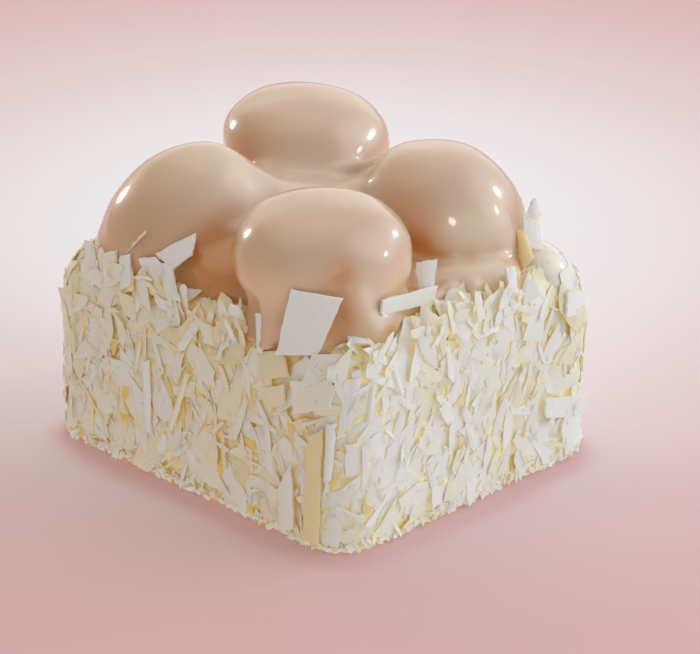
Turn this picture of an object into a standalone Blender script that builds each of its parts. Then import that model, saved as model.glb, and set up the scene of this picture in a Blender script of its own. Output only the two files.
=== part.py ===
"""White chocolate profiterole cake: a small oblong cake coated with white chocolate shavings, carrying
four glazed profiteroles that stand in a pool of glaze.

Metres, +Z up. The origin is the centre of the underside. X runs along the cake's longer side.
"""

import math
import random

import bmesh
import bpy
from mathutils import Matrix, Vector
from mathutils.bvhtree import BVHTree

# The cake under its shavings
CAKE_LENGTH = 0.0820
CAKE_WIDTH = 0.0700
CAKE_HEIGHT = 0.0410
CORNER_RADIUS = 0.0100
CORNER_STEPS = 5
SHOULDER_RADIUS = 0.0080
SHOULDER_STEPS = 4

# The coat's outer limits, which the scattered shavings keep to
COAT_LENGTH = 0.0862
COAT_WIDTH = 0.0742
COAT_LOWEST = 0.0006

# Scattered shavings, largest first: how many, cells along them, then the ranges of length and width
SHAVING_SIZES = (
    (48, 3, (0.0105, 0.0140), (0.0050, 0.0075)),
    (62, 2, (0.0075, 0.0105), (0.0034, 0.0052)),
    (48, 2, (0.0045, 0.0072), (0.0022, 0.0034)),
)
SHAVING_THICKNESS = 0.0007
SHAVING_LEAN = (3.0, 20.0)
SHAVING_STAND_OFF = (0.0003, 0.0011)
SHAVING_CURL = 0.09
SHAVING_TURN_SPREAD = 42.0
SHAVING_CANDIDATES = 24
SHAVING_TRIES = 6
SHAVING_HEIGHTS = (0.0035, 0.0450)
SHAVING_SEED = 11

# The largest shavings that stand out of the coat, each as four corners in millimetres. The edge between
# the last two corners bends into the cake
STANDING_SHAVINGS = {
    "leaning_plate": ((28.6, -35.2, 52.5), (36.2, -30.4, 51.6), (33.5, -33.9, 40.5), (26.0, -36.8, 38.6)),
    "long_chip": ((37.4, -21.6, 45.7), (37.6, -21.3, 48.8), (36.2, -4.8, 46.2), (36.6, -6.3, 43.3)),
    "upright_chip": ((32.4, -6.6, 50.4), (35.0, -3.6, 50.9), (36.7, -6.7, 43.4), (34.9, -8.4, 43.8)),
    "slant_chip": ((37.3, -4.8, 42.8), (38.3, -1.9, 42.8), (43.3, 5.5, 35.7), (43.1, -0.5, 35.5)),
    "spike": ((33.1, 25.1, 53.6), (33.2, 26.7, 53.2), (37.3, 23.7, 42.5), (35.8, 20.9, 42.9)),
    "bright_chip": ((34.5, -28.0, 43.4), (36.0, -22.9, 43.2), (39.3, -26.3, 41.5), (37.2, -29.5, 42.0)),
    "upper_plate": ((32.2, -34.3, 40.3), (38.4, -31.7, 41.1), (38.5, -34.0, 37.1), (31.9, -38.0, 34.2)),
    "lower_plate": ((38.3, -35.9, 31.5), (30.1, -37.9, 28.1), (29.2, -37.4, 34.3), (38.7, -34.1, 37.2)),
    "white_strip": ((41.4, -32.6, 29.3), (39.2, -34.9, 24.7), (39.5, -33.7, 36.9), (41.2, -31.4, 37.1)),
    "edge_chip": ((42.3, 26.2, 37.3), (40.2, 33.4, 33.9), (40.4, 33.3, 29.0), (43.2, 24.8, 32.4)),
    "side_chip": ((41.4, 34.1, 11.6), (40.7, 33.5, 7.2), (43.2, 19.3, 12.0), (43.2, 19.1, 16.5)),
    "left_chip": ((-7.1, -30.7, 50.0), (-5.6, -28.4, 50.8), (-7.5, -30.6, 42.8), (-10.0, -33.0, 45.6)),
    "left_plate": ((-14.8, -35.1, 45.6), (-10.6, -34.2, 47.0), (-3.5, -34.6, 40.0), (-11.3, -35.9, 39.1)),
    "crevice_chip": ((8.0, -34.9, 39.6), (12.2, -34.1, 41.5), (11.5, -36.7, 36.0), (9.4, -38.0, 33.0)),
    "hanging_plate": ((35.8, -36.7, 1.8), (32.2, -37.0, 2.3), (34.1, -37.0, 24.7), (37.0, -36.5, 26.6)),
    "hanging_strip": ((29.7, -36.9, 3.1), (26.1, -36.9, 1.8), (25.8, -37.0, 10.4), (29.2, -37.0, 17.3)),
}
STANDING_ROOT = 0.0040
STANDING_STEP = 0.0003
STANDING_STEPS = 7
STANDING_BULGE = 0.06

# Profiteroles: centre, level of the widest ring, radius there, and rise to the top
PUFFS = {
    "puff_front": {"at": (0.0197, -0.0192), "widest": 0.0498, "radius": 0.0173, "top": 0.0637},
    "puff_left": {"at": (-0.0206, -0.0191), "widest": 0.0482, "radius": 0.0167, "top": 0.0628},
    "puff_right": {"at": (0.0172, 0.0178), "widest": 0.0485, "radius": 0.0165, "top": 0.0630},
    "puff_back": {"at": (-0.0218, 0.0176), "widest": 0.0516, "radius": 0.0170, "top": 0.0640},
}
PUFF_SEGMENTS = 24
PUFF_RINGS = 13
PUFF_FULLNESS = 2.25
PUFF_FOOT_FULLNESS = 2.9
PUFF_FOOT_TAPER = 0.20
PUFF_UNEVENNESS = 0.025

# The glaze between the profiteroles
POOL_LENGTH = 0.0670
POOL_WIDTH = 0.0550
POOL_EDGE_HEIGHT = 0.0018
POOL_MIDDLE_HEIGHT = 0.0048
POOL_HUMP_AT = (-0.0045, 0.0045)
POOL_HUMP_HEIGHT = 0.0050
POOL_HUMP_SPREAD = 0.0100
POOL_CORNER_ROUNDING = 0.28
POOL_CELLS = (16, 13)

# The glaze that ran over the shoulder beside the right profiterole
RUN_AT = (0.0318, 0.0262, 0.0350)
RUN_RADII = (0.0098, 0.0092, 0.0092)

# Pieces that touch keep this gap
GAP = 0.0003
GAP_CUT_GROWTH = 2.0

CHOCOLATE_SHAVING = (0.86, 0.83, 0.74)
GLAZE = (0.82, 0.62, 0.47)


def clear_scene():
    for thing in list(bpy.data.objects):
        bpy.data.objects.remove(thing, do_unlink=True)


def new_collection(name):
    made = bpy.data.collections.new(name)
    bpy.context.scene.collection.children.link(made)
    return made


def material(name, colour, roughness):
    made = bpy.data.materials.new(name)
    made.use_nodes = True
    shader = made.node_tree.nodes["Principled BSDF"]
    shader.inputs["Base Color"].default_value = (*colour, 1.0)
    shader.inputs["Roughness"].default_value = roughness
    shader.inputs["Metallic"].default_value = 0.0
    return made


def object_from(shape, name, collection, finish=None):
    """An object from a bmesh, which is freed."""
    mesh = bpy.data.meshes.new(name)
    shape.to_mesh(mesh)
    shape.free()
    made = bpy.data.objects.new(name, mesh)
    collection.objects.link(made)
    if finish:
        mesh.materials.append(finish)
    return made


def apply_modifiers(thing):
    """Replaces the object's mesh by the evaluated one."""
    graph = bpy.context.evaluated_depsgraph_get()
    mesh = bpy.data.meshes.new_from_object(thing.evaluated_get(graph))
    thing.modifiers.clear()
    thing.data = mesh


def cut(thing, cutter):
    """Takes the cutter away from the object, and removes the cutter."""
    boolean = thing.modifiers.new("cut", "BOOLEAN")
    boolean.operation = "DIFFERENCE"
    boolean.solver = "EXACT"
    boolean.object = cutter
    apply_modifiers(thing)
    bpy.data.objects.remove(cutter, do_unlink=True)


def shade_smooth(thing, angle):
    thing.data.shade_smooth()
    thing.data.set_sharp_from_angle(angle=math.radians(angle))


def cake_shape():
    """A block with rounded corners and a softly rounded top edge."""
    shape = bmesh.new()
    bmesh.ops.create_cube(shape, size=1.0)
    bmesh.ops.scale(shape, vec=(CAKE_LENGTH, CAKE_WIDTH, CAKE_HEIGHT), verts=shape.verts)
    bmesh.ops.translate(shape, vec=(0.0, 0.0, CAKE_HEIGHT / 2), verts=shape.verts)
    upright = [e for e in shape.edges if abs(e.verts[0].co.z - e.verts[1].co.z) > CAKE_HEIGHT / 2]
    bmesh.ops.bevel(
        shape, geom=upright, offset=CORNER_RADIUS, segments=CORNER_STEPS, profile=0.5, affect="EDGES"
    )
    rim = [e for e in shape.edges if min(v.co.z for v in e.verts) > CAKE_HEIGHT - GAP]
    bmesh.ops.bevel(
        shape, geom=rim, offset=SHOULDER_RADIUS, segments=SHOULDER_STEPS, profile=0.5, affect="EDGES"
    )
    return shape


def puff_point(direction, puff, grow):
    """The point of a profiterole's surface that lies in this direction from its centre."""
    up = direction.z >= 0.0
    level = puff["widest"]
    height = puff["top"] - level if up else level - CAKE_HEIGHT - GAP
    fullness = PUFF_FULLNESS if up else PUFF_FOOT_FULLNESS
    across = math.hypot(direction.x, direction.y)
    bearing = math.atan2(direction.y, direction.x)
    reach = across ** (2 / fullness)
    rise = abs(direction.z) ** (2 / fullness)
    phase = 40.0 * puff["at"][0] + 90.0 * puff["at"][1]
    uneven = 1.0 + PUFF_UNEVENNESS * math.sin(2 * bearing + phase) + 0.4 * PUFF_UNEVENNESS * math.sin(3 * bearing)
    taper = 1.0 if up else 1.0 - PUFF_FOOT_TAPER * rise**2
    radius = puff["radius"] * uneven * taper * reach + grow * across
    z = level + (height * rise if up else -height * rise) + grow * direction.z
    return Vector((puff["at"][0] + radius * math.cos(bearing), puff["at"][1] + radius * math.sin(bearing), z))


def puff_shape(puff, grow=0.0):
    """A glazed bun: a full dome that is widest low down and draws in towards its foot."""
    shape = bmesh.new()
    bmesh.ops.create_uvsphere(shape, u_segments=PUFF_SEGMENTS, v_segments=PUFF_RINGS, radius=1.0)
    for vertex in shape.verts:
        vertex.co = puff_point(vertex.co.normalized(), puff, grow)
    return shape


def pool_height(x, y, edge_share):
    """Depth of the glaze, which fills the hollow between the buns and thins out towards its edge."""
    low = POOL_EDGE_HEIGHT + (POOL_MIDDLE_HEIGHT - POOL_EDGE_HEIGHT) * (1.0 - edge_share**3)
    away = math.hypot(x - POOL_HUMP_AT[0], y - POOL_HUMP_AT[1])
    hump = POOL_HUMP_HEIGHT * math.exp(-(away**2) / (2 * POOL_HUMP_SPREAD**2))
    return low + hump


def pool_shape(grow=0.0):
    """The poured glaze: a grid drawn to a rounded outline, lifted to its depth and closed underneath."""
    shape = bmesh.new()
    bmesh.ops.create_grid(shape, x_segments=POOL_CELLS[0], y_segments=POOL_CELLS[1], size=1.0)
    underside = bmesh.ops.extrude_face_region(shape, geom=list(shape.faces))
    lifted = {item for item in underside["geom"] if isinstance(item, bmesh.types.BMVert)}
    floor_level = CAKE_HEIGHT + GAP
    for vertex in shape.verts:
        u, v = vertex.co.x, vertex.co.y
        x = (POOL_LENGTH / 2 + grow) * u * math.sqrt(1.0 - POOL_CORNER_ROUNDING * v * v)
        y = (POOL_WIDTH / 2 + grow) * v * math.sqrt(1.0 - POOL_CORNER_ROUNDING * u * u)
        depth = pool_height(x, y, max(abs(u), abs(v))) + grow if vertex in lifted else 0.0
        vertex.co = (x, y, floor_level + depth)
    bmesh.ops.recalc_face_normals(shape, faces=shape.faces)
    return shape


def run_shape(grow=0.0):
    """The thick run of glaze that lies over one shoulder of the cake."""
    shape = bmesh.new()
    bmesh.ops.create_uvsphere(shape, u_segments=18, v_segments=12, radius=1.0)
    bmesh.ops.scale(shape, vec=[radius + grow for radius in RUN_RADII], verts=shape.verts)
    bmesh.ops.translate(shape, vec=RUN_AT, verts=shape.verts)
    return shape


def coat_legs():
    """Half the straight runs of the cake's outline, and its straight and curved legs in turn."""
    half_length = CAKE_LENGTH / 2 - CORNER_RADIUS
    half_width = CAKE_WIDTH / 2 - CORNER_RADIUS
    quarter = math.pi * CORNER_RADIUS / 2
    return half_length, half_width, [2 * half_width, quarter, 2 * half_length, quarter] * 2


def coat_point(share, level):
    """A point of the cake's surface and its outward normal: share runs round the cake, level up its side,
    from 0 at the base through 1 where the shoulder starts to 2 where the flat top starts."""
    half_length, half_width, legs = coat_legs()
    left = (share % 1.0) * sum(legs)
    corners = [(1, 1), (-1, 1), (-1, -1), (1, -1)]
    for index, leg in enumerate(legs):
        if left <= leg:
            break
        left -= leg
    turn = index // 2
    corner = corners[turn]
    angle = turn * math.pi / 2 + (left / CORNER_RADIUS if index % 2 else 0.0)
    outward = Vector((math.cos(angle), math.sin(angle), 0.0))
    start = Vector((corner[0] * half_length, corner[1] * half_width, 0.0))
    along = Vector((-outward.y, outward.x, 0.0))
    back = 0.0 if index % 2 else leg - left
    foot = start + CORNER_RADIUS * outward - back * along
    side_height = CAKE_HEIGHT - SHOULDER_RADIUS
    if level <= 1.0:
        return foot + Vector((0, 0, level * side_height)), outward
    tip = (level - 1.0) * math.pi / 2
    normal = outward * math.cos(tip) + Vector((0, 0, math.sin(tip)))
    centre = foot - SHOULDER_RADIUS * outward + Vector((0, 0, side_height))
    return centre + SHOULDER_RADIUS * normal, normal


def shaving_shape(cells, length, width, dice):
    """One shaving: a thin strip with uneven ends, curled along its length."""
    shape = bmesh.new()
    bmesh.ops.create_grid(shape, x_segments=cells, y_segments=1, size=0.5)
    narrow = dice.uniform(0.55, 1.0)
    curl = dice.uniform(0.0, SHAVING_CURL)
    for vertex in shape.verts:
        taper = 1.0 + (narrow - 1.0) * (vertex.co.x + 0.5)
        x = length * (vertex.co.x + dice.uniform(-0.12, 0.12))
        y = width * vertex.co.y * taper * dice.uniform(0.8, 1.1)
        vertex.co = (x, y, -curl * length * (2 * vertex.co.x) ** 2)
    return thickened(shape)


def thickened(shape):
    """Turns a sheet into a thin closed solid."""
    shape.normal_update()
    bmesh.ops.solidify(shape, geom=list(shape.faces), thickness=SHAVING_THICKNESS)
    bmesh.ops.recalc_face_normals(shape, faces=shape.faces)
    return shape


def lay_on_coat(share, height, length, dice):
    """Where a shaving lies: on the cake's surface, turned at random and leaning out at one end, by no more
    than the coat has room for."""
    point, normal = coat_point(share, level_of(height))
    side = Vector((0, 0, 1)).cross(normal)
    side = side.normalized() if side.length > 0.1 else Vector((1, 0, 0))
    up = normal.cross(side)
    turn = math.radians(dice.gauss(90.0, SHAVING_TURN_SPREAD))
    along = side * math.cos(turn) + up * math.sin(turn)
    across = normal.cross(along)
    frame = Matrix((along, across, normal)).transposed().to_4x4()
    stand_off = dice.uniform(*SHAVING_STAND_OFF)
    room = (COAT_LENGTH - CAKE_LENGTH) / 2 - stand_off
    most = min(SHAVING_LEAN[1], math.degrees(math.asin(min(1.0, 2 * room / length))))
    lean = math.radians(dice.uniform(SHAVING_LEAN[0], most)) * dice.choice((-1, 1))
    roll = math.radians(dice.uniform(-12.0, 12.0))
    return (
        Matrix.Translation(point + stand_off * normal)
        @ frame
        @ Matrix.Rotation(lean, 4, "Y")
        @ Matrix.Rotation(roll, 4, "X")
    )


def press_into_coat(shape):
    """Moves a shaving inside the coat's outer limits and off the surface that the cake stands on."""
    xs = [vertex.co.x for vertex in shape.verts]
    ys = [vertex.co.y for vertex in shape.verts]
    lowest = min(vertex.co.z for vertex in shape.verts)
    x = min(0.0, COAT_LENGTH / 2 - max(xs)) - min(0.0, COAT_LENGTH / 2 + min(xs))
    y = min(0.0, COAT_WIDTH / 2 - max(ys)) - min(0.0, COAT_WIDTH / 2 + min(ys))
    bmesh.ops.translate(shape, vec=(x, y, max(0.0, COAT_LOWEST - lowest)), verts=shape.verts)


def meets(shape, trees):
    own = BVHTree.FromBMesh(shape)
    return any(own.overlap(tree) for tree in trees)


def level_of(height):
    """The level of a point whose height is measured up the side and on over the shoulder."""
    side_height = CAKE_HEIGHT - SHOULDER_RADIUS
    if height <= side_height:
        return height / side_height
    return 1.0 + (height - side_height) / (SHOULDER_RADIUS * math.pi / 2)


def spot_with_most_room(taken, dice):
    """The best of several random spots on the coat: the one that lies farthest from those taken."""
    girth = sum(coat_legs()[2])
    best, best_room = None, -1.0
    for _ in range(SHAVING_CANDIDATES):
        share = dice.random()
        height = dice.uniform(*SHAVING_HEIGHTS)
        room = 1.0
        for other_share, other_height in taken:
            round_the_cake = abs(share - other_share)
            round_the_cake = min(round_the_cake, 1.0 - round_the_cake) * girth
            room = min(room, math.hypot(round_the_cake, height - other_height))
        if room > best_room:
            best, best_room = (share, height), room
    return best


def scattered_shaving(cells, lengths, widths, taken, keep_clear, dice):
    """A shaving laid where there is room, or nothing if it keeps running into the glaze."""
    for _ in range(SHAVING_TRIES):
        share, height = spot_with_most_room(taken, dice)
        length = dice.uniform(*lengths)
        shape = shaving_shape(cells, length, dice.uniform(*widths), dice)
        shape.transform(lay_on_coat(share, height, length, dice))
        press_into_coat(shape)
        if not meets(shape, keep_clear):
            taken.append((share, height))
            return shape
        shape.free()
    return None


def scatter_shavings(collection, keep_clear):
    """Shavings over the sides and the top edge, the largest first, each kind spread evenly."""
    dice = random.Random(SHAVING_SEED)
    for size, (count, cells, lengths, widths) in enumerate(SHAVING_SIZES):
        taken = []
        for number in range(count):
            shape = scattered_shaving(cells, lengths, widths, taken, keep_clear, dice)
            if shape:
                object_from(shape, f"shaving_{size}_{number}", collection)


def standing_shaving_shape(corners):
    """A shaving given by its corners: bulging slightly, with a last stretch that bends into the cake."""
    first, second, third, fourth = (Vector(corner) / 1000 for corner in corners)
    normal = (second - first).cross(third - second).normalized()
    bulge = normal * STANDING_BULGE * (third - second).length
    rows = [(first, second), ((first + fourth) / 2 + bulge, (second + third) / 2 + bulge), (fourth, third)]
    root = []
    for point in rows[-1]:
        heart = Vector((0.75 * point.x, 0.75 * point.y, min(point.z, CAKE_HEIGHT - 1.4 * SHOULDER_RADIUS)))
        root.append(point + STANDING_ROOT * (heart - point).normalized())
    rows.append(root)
    shape = bmesh.new()
    verts = [[shape.verts.new(point) for point in row] for row in rows]
    for upper, lower in zip(verts, verts[1:]):
        shape.faces.new((upper[0], upper[1], lower[1], lower[0]))
    return thickened(shape)


def drop_doubled_faces(shape):
    """Removes pairs of triangles that lie back to back on the same three corners."""
    seen = {}
    for face in shape.faces:
        seen.setdefault(frozenset(face.verts), []).append(face)
    doubled = [face for faces in seen.values() if len(faces) > 1 for face in faces]
    bmesh.ops.delete(shape, geom=doubled, context="FACES")


def skins_of(shape):
    """The faces of each closed skin."""
    left = set(shape.faces)
    skins = []
    while left:
        skin = []
        front = [left.pop()]
        while front:
            face = front.pop()
            skin.append(face)
            for edge in face.edges:
                for other in edge.link_faces:
                    if other in left:
                        left.remove(other)
                        front.append(other)
        skins.append(skin)
    return skins


def keep_one_body(thing):
    """Drops loose scraps and fills the hollows that overlapping shavings seal, by keeping the largest skin."""
    shape = bmesh.new()
    shape.from_mesh(thing.data)
    bmesh.ops.triangulate(shape, faces=shape.faces)
    bmesh.ops.dissolve_degenerate(shape, edges=shape.edges, dist=1e-7)
    bmesh.ops.triangulate(shape, faces=shape.faces)
    drop_doubled_faces(shape)
    skins = sorted(skins_of(shape), key=len)
    for skin in skins[:-1]:
        bmesh.ops.delete(shape, geom=skin, context="FACES")
    shape.to_mesh(thing.data)
    shape.free()


def move_clear(shape, trees):
    """Moves a standing shaving outwards step by step until it is clear of the glaze."""
    heart = sum((vertex.co for vertex in shape.verts), Vector()) / len(shape.verts)
    outward = Vector((heart.x, heart.y, 0.0)).normalized()
    for _ in range(STANDING_STEPS):
        if not meets(shape, trees):
            return
        bmesh.ops.translate(shape, vec=STANDING_STEP * outward, verts=shape.verts)


def fuse(thing, collection):
    """Joins every object of the collection to this one, and removes the collection's objects."""
    boolean = thing.modifiers.new("fuse", "BOOLEAN")
    boolean.operation = "UNION"
    boolean.solver = "EXACT"
    boolean.operand_type = "COLLECTION"
    boolean.collection = collection
    apply_modifiers(thing)
    for piece in list(collection.objects):
        bpy.data.objects.remove(piece, do_unlink=True)
    keep_one_body(thing)


def build():
    clear_scene()
    parts = new_collection("white_chocolate_profiterole_cake")
    cutters = new_collection("cutters")
    loose = new_collection("shavings")
    shaving_finish = material("white_chocolate_shavings", CHOCOLATE_SHAVING, 0.55)
    glaze_finish = material("white_chocolate_glaze", GLAZE, 0.18)

    pool = object_from(pool_shape(), "glaze_pool", parts, glaze_finish)
    keep_clear = []
    for name, puff in PUFFS.items():
        bun = object_from(puff_shape(puff), name, parts, glaze_finish)
        shade_smooth(bun, 60)
        wider = puff_shape(puff, grow=GAP_CUT_GROWTH * GAP)
        keep_clear.append(BVHTree.FromBMesh(wider))
        cut(pool, object_from(wider, name + "_cutter", cutters))
    cut(pool, object_from(run_shape(grow=GAP_CUT_GROWTH * GAP), "run_cutter", cutters))
    shade_smooth(pool, 40)
    wider_pool = pool_shape(grow=GAP_CUT_GROWTH * GAP)
    keep_clear.append(BVHTree.FromBMesh(wider_pool))
    wider_pool.free()

    cake = object_from(cake_shape(), "cake_block", parts, shaving_finish)
    run = object_from(run_shape(), "glaze_run", loose)
    cut(run, object_from(puff_shape(PUFFS["puff_right"], grow=GAP_CUT_GROWTH * GAP), "run_hollow", cutters))
    for name, corners in STANDING_SHAVINGS.items():
        shape = standing_shaving_shape(corners)
        press_into_coat(shape)
        move_clear(shape, keep_clear)
        object_from(shape, name, loose)
    scatter_shavings(loose, keep_clear)
    fuse(cake, loose)
    shade_smooth(cake, 30)


build()
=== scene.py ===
import math

import bpy
import numpy as np
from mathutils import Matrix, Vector
from mathutils.bvhtree import BVHTree


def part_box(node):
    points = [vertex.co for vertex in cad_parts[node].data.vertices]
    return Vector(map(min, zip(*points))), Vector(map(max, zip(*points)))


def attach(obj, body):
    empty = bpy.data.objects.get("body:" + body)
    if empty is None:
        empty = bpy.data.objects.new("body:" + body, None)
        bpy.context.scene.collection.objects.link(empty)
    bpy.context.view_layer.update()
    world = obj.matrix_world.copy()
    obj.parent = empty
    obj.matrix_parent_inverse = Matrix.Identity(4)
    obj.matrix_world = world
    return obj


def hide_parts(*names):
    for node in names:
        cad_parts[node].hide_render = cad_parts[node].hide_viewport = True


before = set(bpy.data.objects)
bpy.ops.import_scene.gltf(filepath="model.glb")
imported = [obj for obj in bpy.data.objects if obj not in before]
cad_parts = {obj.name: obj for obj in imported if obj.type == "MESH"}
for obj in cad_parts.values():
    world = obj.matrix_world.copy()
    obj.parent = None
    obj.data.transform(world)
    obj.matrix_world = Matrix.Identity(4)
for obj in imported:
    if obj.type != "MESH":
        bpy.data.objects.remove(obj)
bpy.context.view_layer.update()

mm = 0.001
up = Vector((0, 0, 1))


# small helpers

def nodeBox(name):
    low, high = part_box(name)
    return np.array(low) / mm, np.array(high) / mm


def meshObject(name, points, faces):
    mesh = bpy.data.meshes.new(name)
    mesh.from_pydata((points * mm).tolist(), [], faces.tolist())
    mesh.validate()
    mesh.shade_smooth()
    made = bpy.data.objects.new(name, mesh)
    bpy.context.scene.collection.objects.link(made)
    return made


def addMask(thing, name, values, kind="FLOAT", key="value"):
    # a number for each point, or a vector, which the materials read by its name
    mask = thing.data.attributes.new(name, kind, "POINT")
    mask.data.foreach_set(key, np.asarray(values, np.float32).ravel())


def pointsOf(thing):
    flat = np.empty(len(thing.data.vertices) * 3)
    thing.data.vertices.foreach_get("co", flat)
    return flat.reshape(-1, 3) / mm


def normalsOf(thing):
    flat = np.empty(len(thing.data.vertices) * 3, np.float32)
    thing.data.vertex_normals.foreach_get("vector", flat)
    return flat.reshape(-1, 3)


def unit(vectors):
    return vectors / np.linalg.norm(vectors, axis=1)[:, None]


def ramp(values, start, end):
    share = np.clip((values - start) / (end - start), 0, 1)
    return share * share * (3 - 2 * share)


def falloff(points, spots):
    # round soft spots added up: centre, reach, strength
    total = np.zeros(len(points))
    for centre, reach, strength in spots:
        away = np.sum((points - np.array(centre)) ** 2, axis=1) / reach**2
        total = total + strength * np.exp(-away)
    return total


# the camera stands where the photograph was taken from

viewpoint = {
    "azimuth": 44.77,
    "elevation": 24.59,
    "distance": 800.0,
    "lens": 205.3,
    "aimRight": 5.66,
    "aimUp": 24.17,
    "sensor": 36,
    "clip": (0.05, 20),
}


def makeCamera():
    turn = math.radians(viewpoint["azimuth"])
    tilt = math.radians(viewpoint["elevation"])
    right = Vector((math.cos(turn), math.sin(turn), 0))
    back = Vector((math.sin(turn) * math.cos(tilt), -math.cos(turn) * math.cos(tilt), math.sin(tilt)))
    data = bpy.data.cameras.new("camera")
    data.lens = viewpoint["lens"]
    data.sensor_width = viewpoint["sensor"]
    data.clip_start, data.clip_end = viewpoint["clip"]
    camera = bpy.data.objects.new("camera", data)
    bpy.context.scene.collection.objects.link(camera)
    aim = (right * viewpoint["aimRight"] + up * viewpoint["aimUp"]) * mm
    camera.location = aim + back * viewpoint["distance"] * mm
    camera.rotation_mode = "QUATERNION"
    camera.rotation_quaternion = (-back).to_track_quat("-Z", "Y")
    bpy.context.scene.camera = camera
    return right, back


viewRight, viewBack = makeCamera()
print("camera ready")


# the glaze: buns, webs and runs melted into one skin, worked out in millimetres

# widest: height of the fullest ring; foot: height where the bun would close below; fullness: 2 is a plain
# dome and more is squarer; lean: how far the top sits to the right of its foot, as seen from the front
buns = {
    "puff_front": {"widest": 51.6, "foot": 42.6, "fullness": (2.35, 2.3), "lean": 0.0, "blend": 2.6},
    "puff_left": {"widest": 43.6, "foot": 36.0, "fullness": (2.0, 2.5), "lean": 4.6, "blend": 3.4},
    "puff_right": {"widest": 45.6, "foot": 38.6, "fullness": (2.3, 2.2), "lean": -2.8, "blend": 2.2},
    "puff_back": {"widest": 53.3, "foot": 45.2, "fullness": (2.2, 2.4), "lean": -1.4, "blend": 2.2},
}

glaze = {
    "cell": 0.6,
    "low": (-41.0, -40.0, 24.0),
    "high": (44.5, 39.0, 67.0),
    "bottom": 38.2,
    # size, length, seed
    "waves": (0.14, 12.0, 5),
    # rounds, and share of the way towards the neighbours
    "relax": (2, 0.6),
    # level, half width and depth, corner, rounding, blend
    "pool": (43.4, (35.0, 29.4), 13.0, 1.8, 4.0),
    # centre, radius, top, rounding, blend
    "saddle": ((-6.0, 2.5), 14.5, 54.2, 6.5, 4.5),
    "mounds": {
        # centre, radii, turn in degrees, blend
        "leftRidge": ((-13.5, -9.5, 48.0), (9.5, 9.5, 7.6), 0, 6.0),
        "rightRidge": ((6.5, 9.5, 47.0), (9.5, 9.5, 7.0), 0, 5.0),
        "leftGap": ((-1.0, -20.5, 42.4), (9.5, 10.8, 6.8), 0, 5.5),
        "rightGap": ((20.0, -0.5, 42.0), (9.6, 7.0, 5.0), 0, 2.6),
        "frontSkirt": ((23.5, -20.6, 43.2), (14.4, 14.4, 8.2), 0, 3.0),
        "backSkirt": ((-21.6, 17.6, 44.2), (14.2, 14.2, 8.6), 0, 4.0),
        "backGap": ((-1.5, 21.0, 42.4), (9.0, 9.6, 5.6), 0, 4.0),
        "ledge": ((28.6, 9.2, 42.0), (12.5, 8.6, 4.2), 45, 1.3),
        "cornerRun": ((32.0, -21.0, 41.2), (6.2, 7.5, 3.6), 35, 2.5),
    },
    "runs": {
        # from, to, thickness at both ends, blend
        "frontFold": ((35.0, -26.0, 50.0), (35.6, -24.0, 42.0), 1.5, 2.2, 3.0),
        "leftDrip": ((14.2, -31.4, 49.0), (16.2, -34.2, 38.6), 0.9, 1.6, 2.4),
        "frontDrip": ((21.0, -34.2, 47.0), (20.6, -35.2, 38.0), 1.2, 2.2, 3.4),
        "cornerDrip": ((31.0, -31.0, 47.0), (32.2, -32.0, 39.2), 1.4, 2.2, 3.4),
        "backRun": ((-27.0, 29.0, 46.0), (-28.2, 32.2, 39.0), 1.6, 2.2, 3.4),
        "backRunTwo": ((-34.0, 22.0, 46.0), (-37.0, 23.4, 39.0), 1.4, 2.0, 3.4),
        "thinWeb": ((-4.6, 9.8, 53.4), (1.0, 18.4, 55.0), 1.6, 1.6, 2.0),
        "ledgeDrip": ((35.6, 5.6, 42.4), (38.2, 3.4, 39.4), 1.5, 1.0, 1.5),
        "ledgeDripTwo": ((33.4, 1.6, 42.2), (36.0, -0.4, 40.6), 1.4, 0.9, 1.5),
    },
    # small hollows: centre, reach, depth
    "dimples": (((-12.0, -2.4, 53.8), 2.8, 1.1), ((-0.8, 9.4, 53.8), 2.5, 1.1)),
}

shoulderRun = {"at": (31.8, 26.2, 35.0), "radii": (9.8, 9.2, 9.2), "blend": 3.0}


def soften(first, second, blend):
    # the nearer of two distances, rounded where they meet
    share = np.clip(0.5 + 0.5 * (second - first) / blend, 0, 1)
    return second * (1 - share) + first * share - blend * share * (1 - share)


def bunDistance(points, bun):
    low, high = bun["box"]
    centre = (low + high) / 2
    radius = (high[0] - low[0] + high[1] - low[1]) / 4
    offset = points - np.array([centre[0], centre[1], bun["widest"]])
    rise = high[2] - bun["widest"]
    fall = bun["widest"] - bun["foot"]
    leaning = bun["lean"] * np.clip(offset[:, 2] / rise, -0.2, 1)
    across = np.hypot(offset[:, 0] - leaning * viewRight.x, offset[:, 1] - leaning * viewRight.y)
    above = offset[:, 2] >= 0
    power = np.where(above, *bun["fullness"])
    height = np.where(above, rise, fall)
    a = np.maximum(across, 1e-6) / radius
    b = np.maximum(np.abs(offset[:, 2]), 1e-6) / height
    aPart, bPart = a**power, b**power
    reach = (aPart + bPart) ** (1 / power)
    slope = np.hypot(aPart / a / radius, bPart / b / height) * reach / (aPart + bPart)
    return (reach - 1) / np.maximum(slope, 0.02)


def moundDistance(points, centre, radii, turn=0):
    offset = points - np.array(centre)
    c, s = math.cos(math.radians(turn)), math.sin(math.radians(turn))
    turned = np.stack(
        [offset[:, 0] * c + offset[:, 1] * s, offset[:, 1] * c - offset[:, 0] * s, offset[:, 2]], 1
    )
    near = np.linalg.norm(turned / np.array(radii), axis=1)
    slope = np.linalg.norm(turned / np.square(radii), axis=1)
    return near * (near - 1) / np.maximum(slope, 1e-6)


def runDistance(points, start, end, startRadius, endRadius):
    start, end = np.array(start), np.array(end)
    along = end - start
    share = np.clip((points - start) @ along / (along @ along), 0, 1)
    radius = startRadius + (endRadius - startRadius) * share
    return np.linalg.norm(points - start - share[:, None] * along, axis=1) - radius


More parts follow.
